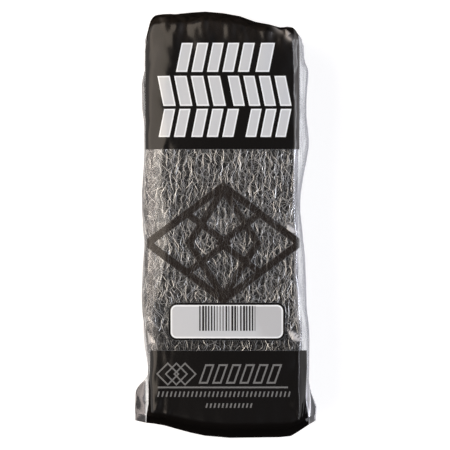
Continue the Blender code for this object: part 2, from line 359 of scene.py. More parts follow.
def shavings(paths, radius, rng, sides=3):
    """Closed three-sided shavings of steel along paths, thinner at their tips, each rolled at random.

    Each ring stands at a point of its path, on two axes square to the path's direction.
    """
    count, rings = paths.shape[:2]
    direction = np.gradient(paths, axis=1)
    direction /= np.linalg.norm(direction, axis=-1, keepdims=True) + 1e-12
    side = np.cross(direction, (0.31, 0.22, 0.93))
    side /= np.linalg.norm(side, axis=-1, keepdims=True) + 1e-12
    up = np.cross(side, direction)
    taper = np.ones(rings)
    taper[[0, -1]] = 0.35
    turn = np.arange(sides)[:, None] * 2 * np.pi / sides + rng.uniform(0, 2 * np.pi, (count, 1, 1, 1))
    wide = (radius[:, None] * taper)[:, :, None, None]
    ring = side[:, :, None] * np.cos(turn) + up[:, :, None] * np.sin(turn)
    points = (paths[:, :, None] + wide * ring).reshape(-1, 3)
    last = (rings - 1) * sides
    wall = grid_faces(rings, sides)[:, ::-1]
    ends = np.array([[0, 1, 2, -1], [last, last + 2, last + 1, -1]])
    one = np.concatenate([wall, ends])
    start = np.arange(count)[:, None, None] * rings * sides
    return points, np.where(one < 0, -1, one + start).reshape(-1, 4)


def maths(tree, operation, *values, clamp=False):
    """Adds a Math node for one operation on numbers or sockets, and gives its output."""
    node = tree.nodes.new("ShaderNodeMath")
    node.operation = operation
    node.use_clamp = clamp
    for socket, value in zip(node.inputs, values):
        if isinstance(value, bpy.types.NodeSocket):
            tree.links.new(value, socket)
        else:
            socket.default_value = value
    return node.outputs[0]


def attribute(tree, name):
    """A number that the mesh holds at each of its points."""
    node = tree.nodes.new("ShaderNodeAttribute")
    node.attribute_name = name
    return node.outputs["Fac"]


def noise(tree, place, stretch, detail, distortion=0.0):
    """Noise from 0 to 1 over a place whose three axes are each multiplied by a number first."""
    drawn = tree.nodes.new("ShaderNodeMapping")
    drawn.inputs["Scale"].default_value = stretch
    node = tree.nodes.new("ShaderNodeTexNoise")
    node.inputs["Scale"].default_value = 1
    node.inputs["Detail"].default_value = detail
    node.inputs["Distortion"].default_value = distortion
    tree.links.new(place, drawn.inputs["Vector"])
    tree.links.new(drawn.outputs["Vector"], node.inputs["Vector"])
    return node.outputs["Fac"]


def ramp(tree, share, low, high, *between):
    """A colour that goes with a share from the low stop to the high one. A stop is a share and a colour."""
    node = tree.nodes.new("ShaderNodeValToRGB")
    stops = node.color_ramp.elements
    for stop, (place, colour) in zip(stops, (low, high)):
        stop.position = place
        stop.color = (*colour, 1)
    for place, colour in between:
        stops.new(place).color = (*colour, 1)
    tree.links.new(share, node.inputs["Fac"])
    return node.outputs["Color"]


def blend(tree, under, over, share):
    """Mixes one colour over another by a share. Each colour is a socket or three numbers."""
    node = tree.nodes.new("ShaderNodeMix")
    node.data_type = "RGBA"
    tree.links.new(share, node.inputs["Factor"])
    for name, colour in (("A", under), ("B", over)):
        if isinstance(colour, bpy.types.NodeSocket):
            tree.links.new(colour, node.inputs[name])
        else:
            node.inputs[name].default_value = (*colour, 1)
    return node.outputs["Result"]


WOOL_STREAKS = (1500, 420, 1500)
# The wool body's colours are painted shade, lighter only along the streaks that stand for finer fibres.
WOOL_BODY_SHADE_DARK = (0.012, 0.012, 0.012)
WOOL_BODY_SHADE_STREAKS = (0.15, 0.148, 0.145)
# A fibre's colour, from painted shade to painted light.
SHADED_FIBRE_COLOUR = (0.03, 0.029, 0.028)
LIT_FIBRE_COLOUR = (0.97, 0.99, 1.0)


def steel_wool():
    """Drawn steel, its fibres painted light on top and painted shade deeper down, over a body painted near
    black as the shade deep in the wool, with fine streaks.
    """
    made = bpy.data.materials.new("steel_wool")
    made.use_nodes = True
    tree = made.node_tree
    shader = tree.nodes["Principled BSDF"]
    place = tree.nodes.new("ShaderNodeTexCoord").outputs["Object"]
    light_share = attribute(tree, "fibre")
    is_fibre = maths(tree, "GREATER_THAN", light_share, 0.001)
    streaks = noise(tree, place, WOOL_STREAKS, detail=1, distortion=0.6)
    # Painted shade: the body is near black for the shade deep inside the wool.
    body = ramp(tree, streaks, (0.50, WOOL_BODY_SHADE_DARK), (0.64, WOOL_BODY_SHADE_STREAKS))
    # Fibres are painted from shade to light by their share of painted light.
    fibres = ramp(tree, light_share, (0.0, SHADED_FIBRE_COLOUR), (1.0, LIT_FIBRE_COLOUR))
    tree.links.new(blend(tree, body, fibres, is_fibre), shader.inputs["Base Color"])
    tree.links.new(maths(tree, "MULTIPLY_ADD", is_fibre, 0.4, 0.2), shader.inputs["Metallic"])
    shader.inputs["Roughness"].default_value = 0.25
    return made


wool_finish = steel_wool()
PAD_SEED = 1000
FRONT_FIBRES = (2200, 5900, 5900, 850)
FRONT_STRANDS = (540, 1480, 1480, 205)
OTHER_FIBRES = {"back": 1000, "sides": 260, "end": 260}
OTHER_STRANDS = {"back": 260, "sides": 130, "end": 120}
for column in range(COLUMNS):
    fibres = {"front": FRONT_FIBRES[column], **OTHER_FIBRES}
    strands = {"front": FRONT_STRANDS[column], **OTHER_STRANDS}
    for layer in range(LAYERS):
        rng = np.random.default_rng(PAD_SEED + column * LAYERS + layer)
        points, faces = pad_body(column, layer)
        light_shares = np.zeros(len(points))
        body_faces = len(faces)
        shown = ["sides"] + ["front"] * (layer == LAYERS - 1) + ["back"] * (layer == 0)
        shown += ["end"] * (column in (0, COLUMNS - 1))
        for bright, counts, radius in ((False, fibres, FIBRE_RADIUS), (True, strands, STRAND_RADIUS)):
            laid = [fibre_paths(column, layer, counts[face], face, rng, bright) for face in shown]
            paths, light_share = (np.concatenate(part) for part in zip(*laid))
            more, more_faces = shavings(paths, rng.uniform(*radius, len(paths)), rng)
            faces = np.concatenate([faces, np.where(more_faces < 0, -1, more_faces + len(points))])
            points = np.concatenate([points, more])
            light_shares = np.append(light_shares, np.repeat(light_share, len(more) // len(paths)))
        pad = solid(f"wool_column_{column + 1}_layer_{layer + 1}", points, faces, wool_finish)
        pad.data.polygons.foreach_set("use_smooth", np.arange(len(faces)) < body_faces)
        values = pad.data.attributes.new("fibre", "FLOAT", "POINT").data
        values.foreach_set("value", light_shares.astype(np.float32))
        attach(pad, "root")
        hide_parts(f"pad_column_{column + 1}_layer_{layer + 1}")


# The sleeve: a tube of thin clear polythene, printed flat, filled with pads and sealed at both ends.
# It lies tight over the front, rolls over the left edge, breaks in a crease along the right one,
# and is gathered at the top. Its lower corners stand out as flat ears.

FIN_HALF = 0.15 * MM
BOTTOM_FIN = 7.0 * MM
TOP_FIN = 3.0 * MM
SHOULDER = 8.5 * MM
SHOULDER_POWER = 5.0
FRONT_CROWN = 1.5 * MM
ROOT_HALF = 8.0 * MM
EAR_FLARE = 3.0 * MM
EAR_CRUMPLE = 0.9 * MM
EAR_ROOT_POWER = 2.6
FILM_DIP = 0.45 * MM
TOP_DIP = 3 * MM
FILM_SEED = 7
LEFT_EAR_MM = (
    (-170, -71.8), (-156, -71.7), (-139, -70.3), (-133, -67.9), (-128, -63.6), (-122, -60.6),
    (-118, -60.6), (-117, 0),
)
RIGHT_EAR_MM = (
    (-170, 71.8), (-155, 71.6), (-151, 70.6), (-139, 67.6), (-127, 65.9), (-115, 65.6),
    (-112, 65.5), (-111, 0),
)
FIN_ROWS = (8, 4)
SHOULDER_ROWS = 20
BODY_ROWS = 216
FLANGE_COLUMNS = 8
WALL_COLUMNS = 5
CORNER_COLUMNS = 11
FLAT_COLUMNS = 100

full_half = (sleeve_high[2] - FRONT_CROWN) / 2


def sleeve_stations():
    """Places along the sleeve, from its bottom edge to its top, and the half height at each.

    At each end it closes as a superellipse, from the shoulder down to the flat fin.
    """
    turn = np.sin(np.linspace(0, np.pi / 2, SHOULDER_ROWS + 1)[1:])
    low = block_start + SHOULDER
    high = block_end - SHOULDER
    closing = FIN_HALF + (full_half - FIN_HALF) * (1 - turn**SHOULDER_POWER) ** (1 / SHOULDER_POWER)
    places = [
        np.linspace(bottom_end, bottom_end + BOTTOM_FIN, FIN_ROWS[0], endpoint=False),
        (low - turn * (low - bottom_end - BOTTOM_FIN))[::-1],
        np.linspace(low, high, BODY_ROWS),
        high + turn * (top_end - TOP_FIN - high),
        np.linspace(top_end, top_end - TOP_FIN, FIN_ROWS[1], endpoint=False)[::-1],
    ]
    halves = [
        np.full(FIN_ROWS[0], FIN_HALF),
        closing[::-1],
        np.full(BODY_ROWS, full_half),
        closing,
        np.full(FIN_ROWS[1], FIN_HALF),
    ]
    return np.concatenate(places), np.concatenate(halves)


def corner(reach, drop, power):
    """A superellipse corner, |x/reach|^p + |z/drop|^p = 1, as offsets in from the wall and down."""
    turn = np.linspace(0, np.pi / 2, CORNER_COLUMNS)[None, :]
    return reach * (1 - np.cos(turn) ** (2 / power)), drop * (1 - np.sin(turn) ** (2 / power))


def sleeve_half(place, half, front):
    """Across and height of each section's front or back half, from its left tip to its right tip.

    The columns are a flange, a wall, a corner and the flat, then the same again on the right.
    In the ears the flange runs out to the tip and thins; elsewhere it is the middle of the wall.
    """
    high = half[:, None]
    left = eased(LEFT_EDGE_MM, place)[:, None]
    right = eased(RIGHT_EDGE_MM, place)[:, None]
    root = np.minimum(ROOT_HALF, 0.4 * high)
    out = np.linspace(0, 1, FLANGE_COLUMNS, endpoint=False)[None, :]
    bow = 0.7 * MM * (1 - out**2) * high / full_half
    left_flare = np.maximum(left - eased(LEFT_EAR_MM, place, 2 * MM)[:, None], 0)
    right_flare = np.maximum(eased(RIGHT_EAR_MM, place, 2 * MM)[:, None] - right, 0)
    left_flange = left - bow - (1 - out) * left_flare
    right_flange = right + bow + (1 - out) * right_flare
    left_flange_z, right_flange_z = (
        root * ((1 - ear) * out + ear * out**EAR_ROOT_POWER) + FIN_HALF * ear * (out > 0)
        for ear in (np.clip(flare / EAR_FLARE, 0, 1) for flare in (left_flare, right_flare))
    )
    if front:
        left_reach = eased(LEFT_KNEE_MM, place)[:, None] - left
        right_reach = right - eased(RIGHT_KNEE_MM, place)[:, None]
        left_in, left_down = corner(left_reach, np.minimum(LEFT_DROP, 0.55 * high), LEFT_POWER)
        right_in, right_down = corner(right_reach, np.minimum(RIGHT_DROP, 0.55 * high), RIGHT_POWER)
    else:
        left_in, left_down = corner(12 * MM, np.minimum(12 * MM, 0.5 * high), 2)
        right_in, right_down = left_in, left_down
    up = np.linspace(0, 1, WALL_COLUMNS, endpoint=False)[None, :]
    left_wall_z = root + up * (high - left_down[:, :1] - root)
    right_wall_z = root + up * (high - right_down[:, :1] - root)
    flat = np.linspace(0, 1, FLAT_COLUMNS + 2)[None, 1:-1]
    left_top = left + left_in[:, -1:]
    right_top = right - right_in[:, -1:]
    flat_x = left_top + flat * (right_top - left_top)
    crown = FRONT_CROWN * front * (1 - (2 * flat - 1) ** 2)
    across = [left_flange, left + 0 * up, left + left_in, flat_x]
    across += [(right - right_in)[:, ::-1], right + 0 * up, right_flange[:, ::-1]]
    height = [left_flange_z, left_wall_z, high - left_down, high + crown * high / full_half]
    height += [(high - right_down)[:, ::-1], right_wall_z[:, ::-1], right_flange_z[:, ::-1]]
    return np.concatenate(across, axis=1), np.concatenate(height, axis=1)


def waves(points, rng, count, length, direction=(1, 1, 1)):
    """A sum of sine waves over points, of random lengths and headings, between about -1 and 1.

    Each heading is a random direction times the given one, so a small number draws the waves out that way.
    """
    heading = rng.normal(size=(count, 3))
    heading /= np.linalg.norm(heading, axis=1, keepdims=True)
    heading *= np.array(direction) * 2 * np.pi / rng.uniform(*length, count)[:, None]
    phase = rng.uniform(0, 2 * np.pi, count)
    return np.sin(points @ heading.T + phase).sum(axis=-1) / np.sqrt(count)


def crease(points, start, end, height, width):
    """A sharp ridge or furrow between two places: height times e to the minus distance by width.

    It fades towards both its ends as a half sine.
    """
    start, end = np.array(start) * MM, np.array(end) * MM
    line = end - start
    place = np.clip((points[..., :2] - start) @ line / (line @ line), 0, 1)
    distance = np.linalg.norm(points[..., :2] - start - place[..., None] * line, axis=-1)
    return height * MM * np.exp(-distance / (width * MM)) * np.sin(np.pi * np.clip(place, 0.06, 0.94))


def facet(points, corners, height):
    """A low three-sided pyramid: height times the least of the barycentric coordinates, by three."""
    a, b, c = (np.array(place) * MM for place in corners)
    across = np.stack([b - a, c - a], axis=1)
    share = (points[..., :2] - a) @ np.linalg.inv(across).T
    least = np.minimum(np.minimum(share[..., 0], share[..., 1]), 1 - share.sum(axis=-1))
    return 3 * height * MM * np.maximum(least, 0)


# Each crease: start and end, height and width in millimetres, and its share of painted highlight.
CREASES = (
    ((53.4, 139.0), (53.9, 62.0), 0.35, 0.9, 0.0),
    ((53.9, 60.0), (54.4, 14.0), 0.45, 0.8, 0.3),
    ((36.0, 158.5), (46.5, 150.0), 0.9, 1.2, 0.7),
    ((46.5, 150.0), (53.0, 144.5), 1.0, 1.0, 1.0),
    ((48.0, -82.0), (62.5, -90.5), 1.1, 1.0, 1.0),
    ((53.0, -63.0), (62.5, -90.0), 0.9, 1.0, 0.5),
    ((57.0, -52.0), (63.0, -88.0), 0.6, 0.9, 0.4),
    ((47.0, 1.5), (57.5, -6.5), 0.6, 0.9, 1.0),
    ((55.5, -16.0), (57.0, -30.0), 0.5, 0.9, 0.8),
    ((-62.0, -71.0), (-51.5, -84.0), 0.6, 0.7, 0.8),
    ((-56.0, -62.0), (-62.0, -78.0), 0.5, 1.2, 0.0),
    ((-48.0, 158.0), (-52.0, 166.0), 0.8, 1.1, 0.1),
    ((-44.0, 158.0), (-43.0, 167.0), -0.9, 1.4, 0.0),
    ((-52.0, 134.0), (-47.0, 164.0), 0.4, 1.8, 0.0),
    ((-38.0, 146.0), (-33.0, 164.0), 0.3, 2.2, 0.0),
    ((-24.0, 146.0), (-22.0, 167.0), 0.2, 2.4, 0.0),
    ((-14.0, 150.0), (-13.0, 168.0), -0.4, 2.0, 0.0),
    ((-4.0, 146.0), (-2.0, 166.0), 0.2, 2.4, 0.0),
    ((8.0, 143.0), (4.0, 164.0), 0.25, 2.0, 0.0),
    ((20.0, 143.0), (14.0, 160.0), -0.4, 2.2, 0.0),
    ((33.0, 144.0), (26.0, 156.0), 0.25, 2.2, 0.0),
    ((-50.0, -136.0), (-58.0, -150.0), 0.6, 1.6, 0.0),
    ((-40.0, -140.0), (-50.0, -155.0), 0.4, 2.0, 0.0),
    ((50.0, -138.0), (62.0, -150.0), 0.6, 1.8, 0.0),
    ((58.0, -104.0), (61.0, -140.0), 0.7, 1.2, 0.0),
    ((-57.0, -106.0), (-58.5, -132.0), 0.06, 2.0, 0.0),
    ((-60.6, 59.0), (-59.6, 6.0), 0.5, 0.8, 0.3),
    ((-57.6, 58.0), (-56.6, -30.0), 0.4, 0.8, 0.3),
    ((-60.4, 0.0), (-60.8, -60.0), 0.5, 0.8, 0.3),
    ((-55.0, 30.0), (-53.8, -20.0), -0.3, 0.9, 0.0),
)
# Each facet: three corners and a height in millimetres, and its share of painted highlight.
FACETS = (
    (((46.0, 155.0), (48.5, 147.5), (51.5, 150.5)), 1.1, 1.0),
    (((47.0, 1.5), (58.5, -7.0), (49.0, -7.5)), 1.3, 1.0),
    (((47.0, -81.0), (63.0, -92.5), (53.0, -92.0)), 1.5, 1.0),
    (((-52.0, 164.5), (-43.0, 164.5), (-47.0, 156.0)), 1.4, 0.0),
    (((-62.5, -82.0), (-53.5, -94.0), (-61.5, -95.0)), 1.0, 0.7),
)


def film_form():
    """The sleeve's points in rows, each moved along its normal by the film's folds and waves.

    A dip goes over into dip tanh(lift / dip), so that the film stays off the wool.
    With them comes how high each point lies on the front half of its section, from 0 at mid height
    to 1 at the top, and how much painted highlight each point carries, white along the folds and
    facets that stand up from the film.
    """
    place, half = sleeve_stations()
    front_x, front_z = sleeve_half(place, half, True)
    back_x, back_z = sleeve_half(place, half, False)
    front_z[:, [0, -1]] = 0
    across = np.concatenate([front_x, back_x[:, -2:0:-1]], axis=1)
    height = np.concatenate([front_z, -back_z[:, -2:0:-1]], axis=1) + full_half
    rise = (height - full_half) / half[:, None]
    along = np.broadcast_to(place[:, None], across.shape)
    points = settled(np.stack([across, along, height], axis=-1))
    around = np.roll(points, -1, axis=1) - np.roll(points, 1, axis=1)
    normal = np.cross(around, np.gradient(points, axis=0))
    normal /= np.linalg.norm(normal, axis=-1, keepdims=True) + 1e-12

    x = points[..., 0]
    steep = np.clip(1.25 * np.abs(normal[..., 0]), 0, 1)
    on_front = np.clip((points[..., 2] - full_half) / (12 * MM), 0, 1)
    rolled = np.clip((-36 * MM - x) / (8 * MM), 0, 1) * on_front
    by_crease = np.exp(-np.abs(x - 55 * MM) / (5 * MM)) * on_front
    near_top = np.exp(-(top_end - along) / (20 * MM))
    near_bottom = np.exp(-(along - bottom_end) / (14 * MM))
    rng = np.random.default_rng(FILM_SEED)
    lift = np.zeros_like(x)
    for size, share, count, length, direction in (
        (0.22, 1, 8, (30, 80), (1, 1, 1)),
        (0.45, steep, 8, (6, 16), (1, 0.12, 1)),
        (0.30, steep, 6, (10, 22), (1, 0.8, 1)),
        (0.12, rolled, 9, (4, 8), (1, 0.10, 0.3)),
        (0.20, rolled, 7, (7, 14), (1, 0.6, 0.3)),
        (0.40, rolled, 7, (18, 40), (1, 0.8, 0.3)),
        (1.10, near_top, 9, (10, 24), (1, 0.45, 0.6)),
        (0.70, near_top, 9, (5, 11), (1, 0.6, 0.6)),
        (0.45, near_bottom, 7, (10, 24), (1, 0.25, 0.6)),
        (0.35, by_crease, 8, (8, 18), (0.6, 1, 0.3)),
    ):
        lift += size * MM * share * waves(points, rng, count, np.array(length) * MM, direction)
    # White along folds and facets: painted highlight.
    fold_highlight = np.zeros_like(lift)
    for start, end, size, width, highlight_share in CREASES:
        ridge = on_front * crease(points, start, end, size, width)
        lift += ridge
        fold_highlight = np.maximum(fold_highlight, highlight_share * np.clip(ridge / (0.7 * size * MM), 0, 1))
    for corners, size, highlight_share in FACETS:
        hill = on_front * facet(points, corners, size)
        lift += hill
        fold_highlight = np.maximum(fold_highlight, highlight_share * np.clip(hill / (0.3 * size * MM), 0, 1))

    room = np.clip(half / full_half, 0.02, 1)[:, None]
    dip = FILM_DIP + TOP_DIP * near_top
    lift = np.where(lift < 0, dip * np.tanh(lift / dip), lift) * room
    points = points + lift[..., None] * normal
    y = points[..., 1]
    past_edge = np.where(x > 0, x - eased(RIGHT_EDGE_MM, y), eased(LEFT_EDGE_MM, y) - x)
    out = np.clip(past_edge / (3 * MM), 0, 1) * (y < -110 * MM)
    crumple = np.arcsin(np.sin(3 * waves(points, rng, 4, (18 * MM, 36 * MM), (1, 1, 0))))
    points[..., 2] += EAR_CRUMPLE * out * crumple
    points[..., 2] = np.maximum(points[..., 2], sleeve_low[2])
    return points, rise, fold_highlight


def within(tree, distance, edge=0.15):
    """1 where a distance in millimetres is below nothing, 0 above, and soft over the edge's width."""
    return maths(tree, "MULTIPLY_ADD", distance, -0.5 / edge, 0.5, clamp=True)


def box_distance(tree, x, y, low, high, radius=0.0):
    """Distance in millimetres to a box with rounded corners: negative inside, positive outside."""
    sides = []
    for place, start, end in zip((x, y), low, high):
        offset = maths(tree, "ABSOLUTE", maths(tree, "SUBTRACT", place, (start + end) / 2))
        sides.append(maths(tree, "SUBTRACT", offset, (end - start) / 2 - radius))
    outer = [maths(tree, "POWER", maths(tree, "MAXIMUM", side, 0.0), 2.0) for side in sides]
    outside = maths(tree, "SQRT", maths(tree, "ADD", *outer))
    inside = maths(tree, "MINIMUM", maths(tree, "MAXIMUM", *sides), 0.0)
    return maths(tree, "SUBTRACT", maths(tree, "ADD", outside, inside), radius)


def bars_distance(tree, x, y, low, high, count, gap, slant):
    """Distance to a row of slanted bars: x is sheared by the slant, and wraps at each bar's pitch."""
    pitch = (high[0] - low[0] + gap) / count
    middle = (low[1] + high[1]) / 2
    sheared = maths(tree, "MULTIPLY_ADD", maths(tree, "SUBTRACT", y, middle), -slant, x)
    wrapped = maths(tree, "WRAP", maths(tree, "SUBTRACT", sheared, low[0]), pitch, 0.0)
    bar = maths(tree, "ABSOLUTE", maths(tree, "SUBTRACT", wrapped, (pitch - gap) / 2))
    bar = maths(tree, "SUBTRACT", bar, (pitch - gap) / 2)
    group = maths(tree, "ABSOLUTE", maths(tree, "SUBTRACT", sheared, (low[0] + high[0]) / 2))
    group = maths(tree, "SUBTRACT", group, (high[0] - low[0]) / 2)
    row = maths(tree, "ABSOLUTE", maths(tree, "SUBTRACT", y, middle))
    row = maths(tree, "SUBTRACT", row, (high[1] - low[1]) / 2)
    return maths(tree, "MAXIMUM", maths(tree, "MAXIMUM", bar, group), row)


def lozenge_distance(tree, x, y, centre, half_width, half_height, line):
    """Distance to the outline of a lozenge, |x|/a + |y|/b = 1, less half the line's width."""
    across = maths(tree, "ABSOLUTE", maths(tree, "SUBTRACT", x, centre[0]))
    along = maths(tree, "ABSOLUTE", maths(tree, "SUBTRACT", y, centre[1]))
    total = maths(tree, "MULTIPLY_ADD", along, 1 / half_height, -1.0)
    total = maths(tree, "MULTIPLY_ADD", across, 1 / half_width, total)
    slope = 1 / np.hypot(1 / half_width, 1 / half_height)
    return maths(tree, "SUBTRACT", maths(tree, "ABSOLUTE", maths(tree, "MULTIPLY", total, slope)), line / 2)


def joined(tree, operation, *values):
    """Several values taken together two by two: the least, the greatest or the product of them all."""
    found = values[0]
    for value in values[1:]:
        found = maths(tree, operation, found, value)
    return found


def rising(tree, value, start, end):
    """How far a value has come from the start, where this is 0, to the end, where it is 1."""
    slope = 1 / (end - start)
    return maths(tree, "MULTIPLY_ADD", value, slope, -start * slope, clamp=True)


PRINT_LEFT_MM = (
    (-170, -63.5), (-151, -62.9), (-139, -60.6), (-127, -60.9), (-115, -59.8), (-99, -59.4),
    (0, -62.6), (60, -63.3), (140, -63.3), (150, -62.4), (170, -62),
)
PRINT_RIGHT_MM = (
    (-170, 66.5), (-151, 65.9), (-139, 63.4), (-127, 63.6), (-115, 64.4), (-99, 64.3),
    (-60, 59), (0, 58.4), (60, 58.3), (140, 58.3), (170, 56.5),
)
PRINT_RISE = 0.42

# The print's shapes in millimetres: a box is two corners and a radius, a lozenge its middle, half
# width, half height and line, and a row of bars two corners, a count, a gap and a slant.
TOP_BAND_EDGE = 59.4
BOTTOM_BAND_EDGE = -99.1
LABEL = ((-45.0, -91.2), (47.1, -61.4), 6.5)
LABEL_BORDER = 1.8
LABEL_RIM = 1.2
MOTIF = (
    ((-1.7, -14.5), 60.0, 45.0, 6.0),
    ((-30.0, -14.5), 31.0, 23.0, 5.5),
    ((27.0, -14.5), 31.0, 23.0, 5.5),
    ((-1.7, -14.5), 27.0, 42.0, 6.0),
)
SILVER_RIM = 1.0
SILVER_ROWS = (
    ((-36.8, 120.5), (20.8, 143.3), 5, 3.4, 0.20),
    ((25.8, 120.5), (36.7, 143.3), 1, 3.4, 0.20),
    ((-51.4, 93.7), (-2.0, 117.3), 4, 3.4, -0.20),
    ((4.0, 93.7), (49.7, 117.3), 4, 3.4, -0.20),
    ((-50.6, 69.2), (-29.8, 91.3), 2, 3.4, 0.20),
    ((-24.8, 69.2), (8.4, 91.3), 3, 3.4, 0.20),
    ((17.9, 69.2), (49.7, 91.3), 3, 3.4, 0.20),
)
CODE = ((-22.0, -83.6), (23.5, -63.9))
CODE_PITCH = 2.3
LOW_FRAMES = ((-18.6, -125.2), (42.0, -109.9), 6, 3.4, 0.35)
LOW_FRAME_LINE = 1.4
LOW_ROWS = (
    ((-53.4, -135.6), (50.8, -131.4), 32, 2.1, 0.25),
    ((-15.4, -144.2), (20.8, -140.7), 12, 1.9, 0.25),
)
LOW_RULE = ((-53.4, -128.8), (49.2, -127.5))
LOW_LOZENGES = tuple(((centre, -117.6), 8.4, 8.4, 1.1) for centre in (-45.5, -38.7, -31.9))


def printed_shapes(tree, x, y, side):
    """How much of each printed shape there is at a place on the front, from 0 to 1, by name.

    Each shape is a distance in millimetres, negative inside it. The side is the distance past
    the print's left or right edge.
    """
    top_band = maths(tree, "MAXIMUM", maths(tree, "SUBTRACT", TOP_BAND_EDGE, y), side)
    low_band = maths(tree, "MAXIMUM", maths(tree, "SUBTRACT", y, BOTTOM_BAND_EDGE), side)
    label = box_distance(tree, x, y, *LABEL)
    motif = joined(tree, "MINIMUM", *(lozenge_distance(tree, x, y, *lozenge) for lozenge in MOTIF))
    silver = joined(tree, "MINIMUM", *(bars_distance(tree, x, y, *row) for row in SILVER_ROWS))

    lines = maths(tree, "MULTIPLY", x, 1 / CODE_PITCH)
    chance = tree.nodes.new("ShaderNodeTexWhiteNoise")
    chance.noise_dimensions = "1D"
    tree.links.new(maths(tree, "FLOOR", lines), chance.inputs["W"])
    line_width = maths(tree, "MULTIPLY_ADD", chance.outputs["Value"], 0.50, 0.25)
    dark_line = maths(tree, "LESS_THAN", maths(tree, "FRACT", lines), line_width)

    frames = maths(tree, "ADD", bars_distance(tree, x, y, *LOW_FRAMES), LOW_FRAME_LINE / 2)
    marks = [maths(tree, "SUBTRACT", maths(tree, "ABSOLUTE", frames), LOW_FRAME_LINE / 2)]
    marks += [lozenge_distance(tree, x, y, *lozenge) for lozenge in LOW_LOZENGES]
    marks += [bars_distance(tree, x, y, *row) for row in LOW_ROWS]
    marks += [box_distance(tree, x, y, *LOW_RULE)]

    return {
        "solid ink": within(tree, joined(tree, "MINIMUM", top_band, low_band, label)),
        "motif": within(tree, maths(tree, "MAXIMUM", motif, side), 0.25),
        "silver": within(tree, silver),
        "silver field": within(tree, maths(tree, "ADD", silver, SILVER_RIM)),
        "low marks": within(tree, joined(tree, "MINIMUM", *marks)),
        "label": within(tree, maths(tree, "ADD", label, LABEL_BORDER)),
        "label field": within(tree, maths(tree, "ADD", label, LABEL_BORDER + LABEL_RIM)),
        "code": maths(tree, "MULTIPLY", dark_line, within(tree, box_distance(tree, x, y, *CODE))),
    }


def haze(tree, x, y, z, side, front, streaks):
    """How hazy the clear film is, from 0 to 1, in its ears, where it is bunched and where it is veiled.

    It is bunched along the right edge of the front and has a veil along the left one, in streaks.
    The bunched film's milky white is partly painted sheen, and the grey veil is partly painted
    shade over the wool that the left softbox lights.
    """
    in_ear = joined(
        tree, "MULTIPLY", rising(tree, maths(tree, "ABSOLUTE", x), 62.4, 64.4),
        rising(tree, y, -116.0, -126.0), rising(tree, z, 15.0, 25.0),
    )
    # Milky film bunched along the right edge; its white is partly painted sheen of the room it faces.
    high_up = maths(tree, "MULTIPLY", rising(tree, z, 39.0, 49.0), front)
    bunched = joined(
        tree, "MULTIPLY", rising(tree, side, -6.0, -4.0), maths(tree, "GREATER_THAN", x, 0.0),
        high_up, rising(tree, streaks, 0.1563, 0.7813),
    )
    # A grey streaky veil along the left edge: the film's haze, and painted shade over the wool lit there.
    veiled_and_shaded = joined(
        tree, "MULTIPLY", rising(tree, side, -9.0, -4.0), maths(tree, "LESS_THAN", x, 0.0),
        high_up, rising(tree, streaks, 0.2292, 0.6458),
    )
    return in_ear, bunched, veiled_and_shaded


CLEAR_FILM = (0.80, 0.85, 0.92)
CLEAR_COVER = 0.075
GRAZING_COVER = 0.66
EAR_COVER = 0.86
VEIL_AND_SHADE_COVER = 0.5
MOTIF_COVER = 0.82
FOLD_HIGHLIGHT_COVER = 0.85
FILM_GLOSS = 0.44
FILM_ROUGHNESS = 0.17
INK_ROUGHNESS = 0.05
EAR_LINE_PLACE = 0.7
EAR_LINE_HALF = 0.45


